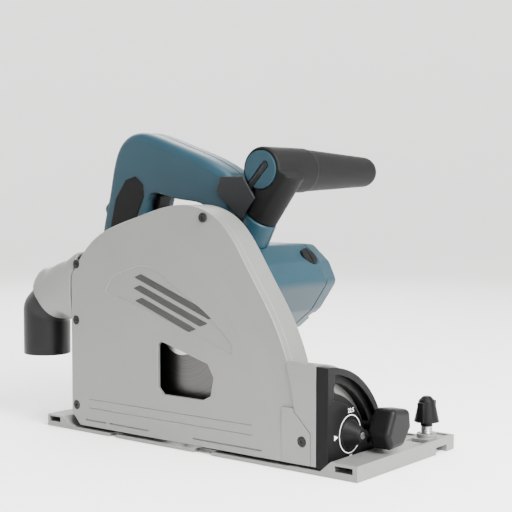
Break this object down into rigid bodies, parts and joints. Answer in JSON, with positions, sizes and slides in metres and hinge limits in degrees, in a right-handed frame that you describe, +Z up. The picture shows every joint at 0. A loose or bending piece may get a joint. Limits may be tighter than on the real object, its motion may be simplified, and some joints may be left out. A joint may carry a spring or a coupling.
{
  "type": "track plunge saw",
  "caption": "Plunge-cut circular saw on a guide-rail base, with bevelling head, closed rear handle, front grip and swivelling dust nozzle.",
  "frame": {"origin": "on the sole of the base plate, under the blade's mid-plane, half way along the base", "axes": "+X forward along the cut, +Y from the blade towards the motor, +Z up from the sole"},
  "size_m": [0.3523, 0.2187, 0.246],
  "materials": {
    "cast_aluminium": "cast, satin",
    "guide_black": "black powder coat",
    "housing_plastic": "fine grain",
    "black_plastic": "fine grain",
    "soft_grip": "fine texture",
    "steel": "bright",
    "blade_steel": "ground",
    "fastener_black": "black oxide",
    "copper": "enamelled wire",
    "scale_plate": "printed scale"
  },
  "bodies": {
    "base": {"base_plate": "cast_aluminium", "guide_screws": "fastener_black", "front_angular_guide": "guide_black", "rear_angular_guide": "guide_black", "fence_springs": "steel"},
    "stop_dial": {"positive_stop_dial": "black_plastic", "stop_dial_screw": "steel"},
    "front_fence_screw": {"fence_screw_front": "black_plastic"},
    "rear_fence_screw": {"fence_screw_rear": "black_plastic"},
    "front_rail_cam": {"rail_cam_front": "black_plastic"},
    "rear_rail_cam": {"rail_cam_rear": "black_plastic"},
    "rail_slide_lever": {"slide_lever": "black_plastic"},
    "head": {"blade_case": "cast_aluminium", "blade_cover": "cast_aluminium", "cover_screws": "fastener_black", "depth_scale": "scale_plate", "pivot_shaft": "steel", "return_spring": "steel"},
    "front_clamp": {"bevel_clamp_front": "black_plastic"},
    "rear_clamp": {"bevel_clamp_rear": "black_plastic"},
    "stop_block": {"depth_stop": "black_plastic"},
    "stop_knob": {"depth_stop_knob": "black_plastic"},
    "nozzle": {"dust_nozzle": "black_plastic"},
    "saw_unit": {"gear_housing": "cast_aluminium", "pivot_bushes": "copper", "bearing_plate": "cast_aluminium", "ball_bearings": "steel", "motor_housing": "housing_plastic", "motor_end_cover": "housing_plastic", "fan_baffle": "black_plastic", "stator_core": "steel", "stator_coils": "copper", "brush_holders": "copper", "carbon_brushes": "black_plastic", "brush_caps": "black_plastic", "handle_right": "housing_plastic", "handle_left": "housing_plastic", "housing_screws": "fastener_black", "grip_pads": "soft_grip", "switch_body": "black_plastic", "speed_controller": "black_plastic", "cord_gland": "soft_grip", "grip_bracket": "black_plastic", "front_grip": "soft_grip", "grip_cap": "black_plastic"},
    "blade_spindle": {"spindle": "steel", "spindle_gear": "steel", "inner_flange": "steel", "saw_blade": "blade_steel", "outer_flange": "steel", "blade_bolt": "fastener_black"},
    "motor_armature": {"armature": "steel", "commutator": "copper", "fan": "black_plastic"},
    "switch_trigger": {"trigger": "black_plastic"},
    "lock_off": {"lock_off_button": "black_plastic"},
    "spindle_lock": {"shaft_lock_button": "black_plastic"},
    "speed_wheel": {"speed_dial": "black_plastic"},
    "wrench": {"hex_wrench": "fastener_black"}
  },
  "joints": [
    {"name": "positive_stop_turn", "type": "hinge", "parent": "base", "child": "stop_dial", "pos_m": [0.123, 0.013, 0.0255], "axis": [1, 0, 0], "range_deg": [-45, 45]},
    {"name": "front_fence_screw_turn", "type": "hinge", "parent": "base", "child": "front_fence_screw", "pos_m": [0.1415, 0.0965, 0.02], "axis": [0, 0, 1], "range_deg": [-170, 170]},
    {"name": "rear_fence_screw_turn", "type": "hinge", "parent": "base", "child": "rear_fence_screw", "pos_m": [-0.149, 0.0965, 0.02], "axis": [0, 0, 1], "range_deg": [-170, 170]},
    {"name": "front_rail_cam_turn", "type": "hinge", "parent": "base", "child": "front_rail_cam", "pos_m": [0.1, 0.082, 0.003], "axis": [0, 0, 1], "range_deg": [-20, 20]},
    {"name": "rear_rail_cam_turn", "type": "hinge", "parent": "base", "child": "rear_rail_cam", "pos_m": [-0.11, 0.082, 0.003], "axis": [0, 0, 1], "range_deg": [-20, 20]},
    {"name": "rail_slide_lever_slide", "type": "slide", "parent": "base", "child": "rail_slide_lever", "axis": [0, 1, 0], "range_m": [0, 0.007]},
    {"name": "bevel", "type": "hinge", "parent": "base", "child": "head", "pos_m": [0, -0.014, 0], "axis": [1, 0, 0], "range_deg": [0, 48]},
    {"name": "front_bevel_clamp_turn", "type": "hinge", "parent": "head", "child": "front_clamp", "pos_m": [0.128, 0.04069, 0.02703], "axis": [1, 0, 0], "range_deg": [-30, 10]},
    {"name": "rear_bevel_clamp_turn", "type": "hinge", "parent": "head", "child": "rear_clamp", "pos_m": [-0.145, 0.02671, 0.02544], "axis": [1, 0, 0], "range_deg": [-60, 60]},
    {"name": "depth_stop_swing", "type": "hinge", "parent": "head", "child": "stop_block", "pos_m": [-0.112, 0.017, 0.07], "axis": [0, 1, 0], "range_deg": [-33, 0]},
    {"name": "depth_stop_knob_turn", "type": "hinge", "parent": "stop_block", "child": "stop_knob", "pos_m": [0.04796, 0.025, 0.02564], "axis": [0, 1, 0], "range_deg": [-90, 90]},
    {"name": "dust_nozzle_swivel", "type": "hinge", "parent": "head", "child": "nozzle", "pos_m": [-0.1659, 0.003, 0.1055], "axis": [-0.765, 0, -0.644], "continuous": true},
    {"name": "plunge", "type": "hinge", "parent": "head", "child": "saw_unit", "pos_m": [-0.112, 0.02, 0.07], "axis": [0, 1, 0], "range_deg": [0, 38.46], "stiffness_Nm_per_rad": 6, "springref_deg": -68.75},
    {"name": "blade_spin", "type": "hinge", "parent": "saw_unit", "child": "blade_spindle", "pos_m": [-0.0175, 0.01, 0.0895], "axis": [0, 1, 0], "continuous": true},
    {"name": "armature_spin", "type": "hinge", "parent": "saw_unit", "child": "motor_armature", "pos_m": [-0.00884, 0.07, 0.11615], "axis": [0, 1, 0], "continuous": true},
    {"name": "trigger_pull", "type": "hinge", "parent": "saw_unit", "child": "switch_trigger", "pos_m": [-0.0955, 0.059, 0.191], "axis": [0, 1, 0], "range_deg": [0, 8], "stiffness_Nm_per_rad": 0.6, "springref_deg": -5.73},
    {"name": "lock_off_press", "type": "slide", "parent": "saw_unit", "child": "lock_off", "axis": [0.9724, 0, -0.2334], "range_m": [0, 0.004], "stiffness_N_per_m": 600, "springref_m": -0.002},
    {"name": "spindle_lock_press", "type": "slide", "parent": "saw_unit", "child": "spindle_lock", "axis": [-0.9563, 0, -0.2924], "range_m": [0, 0.0034], "stiffness_N_per_m": 700, "springref_m": -0.002},
    {"name": "speed_wheel_turn", "type": "hinge", "parent": "saw_unit", "child": "speed_wheel", "pos_m": [-0.104, 0.059, 0.119], "axis": [0, 1, 0], "range_deg": [-150, 150]},
    {"name": "wrench_slide", "type": "slide", "parent": "saw_unit", "child": "wrench", "axis": [0, -1, 0], "range_m": [0, 0.07]}
  ],
  "couplings": [
    {"joint": "armature_spin", "follows": "blade_spin", "ratio": -4.3636}
  ]
}
